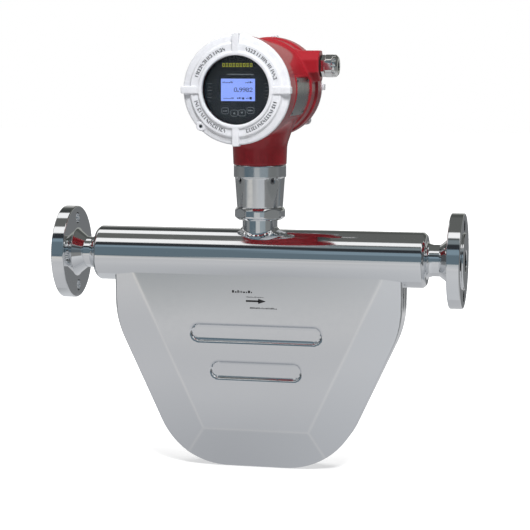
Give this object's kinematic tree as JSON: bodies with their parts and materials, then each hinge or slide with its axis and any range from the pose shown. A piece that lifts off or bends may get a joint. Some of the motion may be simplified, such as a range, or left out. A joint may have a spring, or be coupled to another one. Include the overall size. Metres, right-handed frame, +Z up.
{
  "type": "coriolis flow meter",
  "caption": "Flanged coriolis mass flow meter: two bent measuring tubes in a welded steel housing, with a red field transmitter and display on its neck.",
  "frame": {"origin": "middle of the flat base of the sensor housing", "axes": "+X along the pipe with the flow, -Y towards the display, +Z up the neck"},
  "size_m": [0.505, 0.222, 0.5298],
  "materials": {
    "polished_steel": "mirror polished stainless steel",
    "tube_steel": "drawn stainless tube",
    "satin_steel": "turned and satin finished",
    "housing_sheet": "fine satin sheet",
    "screw_steel": "plain stainless fastener",
    "magnet_steel": "nickel plated magnet",
    "coil_copper": "enamelled copper winding",
    "wire_sleeve": "insulated wire",
    "feedthrough_glass": "fused glass with pins",
    "red_paint": "glossy dark red coating on cast aluminium",
    "white_paint": "semi gloss white coating on cast aluminium",
    "plate_steel": "brushed stainless plate",
    "board_laminate": "solder mask",
    "brass_parts": "turned brass",
    "dark_plastic": "fine matte plastic",
    "display_screen": "lit blue liquid crystal screen",
    "black_rubber": "moulded rubber",
    "clear_glass": "clear toughened glass",
    "gland_nickel": "nickel plated"
  },
  "bodies": {
    "sensor": {"inlet_flange": "polished_steel", "outlet_flange": "polished_steel", "support_tube": "polished_steel", "inlet_manifold": "polished_steel", "outlet_manifold": "polished_steel", "front_measuring_tube": "tube_steel", "rear_measuring_tube": "tube_steel", "inlet_brace_plates": "tube_steel", "outlet_brace_plates": "tube_steel", "drive_coil": "coil_copper", "drive_magnet": "magnet_steel", "inlet_pickoff_coil": "coil_copper", "inlet_pickoff_magnet": "magnet_steel", "outlet_pickoff_coil": "coil_copper", "outlet_pickoff_magnet": "magnet_steel", "coil_brackets": "satin_steel", "magnet_brackets": "satin_steel", "temperature_sensor": "tube_steel", "sensor_wiring": "wire_sleeve", "front_shell": "housing_sheet", "rear_shell": "housing_sheet", "purge_plug": "screw_steel", "neck_tube": "polished_steel", "neck_feedthrough": "feedthrough_glass", "neck_nut": "polished_steel", "neck_adapter": "satin_steel", "clamp_screws": "screw_steel", "head_cable": "wire_sleeve"},
    "head": {"transmitter_housing": "red_paint", "name_plate": "plate_steel", "plate_rivets": "screw_steel", "partition_feedthrough": "feedthrough_glass", "power_board": "board_laminate", "main_board": "board_laminate", "board_spacers": "brass_parts", "board_screws": "screw_steel", "display_cup": "dark_plastic", "display_face": "dark_plastic", "display_glass": "display_screen", "terminal_block": "dark_plastic", "terminal_screws": "screw_steel", "ground_screw": "brass_parts", "gland_washer": "black_rubber", "gland_body": "gland_nickel"},
    "front_seal": {"front_o_ring": "black_rubber"},
    "front_cover": {"front_cover": "white_paint", "window_gasket": "black_rubber", "window_glass": "clear_glass", "window_ring": "dark_plastic"},
    "front_lock": {"front_lock_screw": "screw_steel"},
    "rear_seal": {"rear_o_ring": "black_rubber"},
    "rear_cover": {"rear_cover": "white_paint"},
    "rear_lock": {"rear_lock_screw": "screw_steel"},
    "gland_insert": {"gland_seal": "black_rubber"},
    "gland_nut": {"gland_nut": "gland_nickel"}
  },
  "joints": [
    {"name": "head_swivel", "type": "hinge", "parent": "sensor", "child": "head", "pos_m": [0, 0, 0.373], "axis": [0, 0, 1], "range_deg": [-175, 175]},
    {"name": "front_cover_travel", "type": "slide", "parent": "head", "child": "front_seal", "axis": [0, -1, 0], "range_m": [0, 0.0085]},
    {"name": "front_cover_turn", "type": "hinge", "parent": "front_seal", "child": "front_cover", "pos_m": [0, -0.12, 0.4655], "axis": [0, -1, 0], "range_deg": [0, 1440]},
    {"name": "front_lock_backout", "type": "slide", "parent": "front_cover", "child": "front_lock", "axis": [0, -1, 0], "range_m": [0, 0.003]},
    {"name": "rear_cover_travel", "type": "slide", "parent": "head", "child": "rear_seal", "axis": [0, 1, 0], "range_m": [0, 0.0085]},
    {"name": "rear_cover_turn", "type": "hinge", "parent": "rear_seal", "child": "rear_cover", "pos_m": [0, 0.08, 0.4655], "axis": [0, 1, 0], "range_deg": [0, 1440]},
    {"name": "rear_lock_backout", "type": "slide", "parent": "rear_cover", "child": "rear_lock", "axis": [0, 1, 0], "range_m": [0, 0.003]},
    {"name": "gland_nut_travel", "type": "slide", "parent": "head", "child": "gland_insert", "axis": [1, 0, 0], "range_m": [0, 0.005]},
    {"name": "gland_nut_turn", "type": "hinge", "parent": "gland_insert", "child": "gland_nut", "pos_m": [0.08, 0.034, 0.492], "axis": [1, 0, 0], "range_deg": [0, 1080]}
  ],
  "couplings": [
    {"joint": "front_cover_travel", "follows": "front_cover_turn", "m_per_rad": 0.00031831},
    {"joint": "rear_cover_travel", "follows": "rear_cover_turn", "m_per_rad": 0.00031831},
    {"joint": "gland_nut_travel", "follows": "gland_nut_turn", "m_per_rad": 0.00023873}
  ]
}
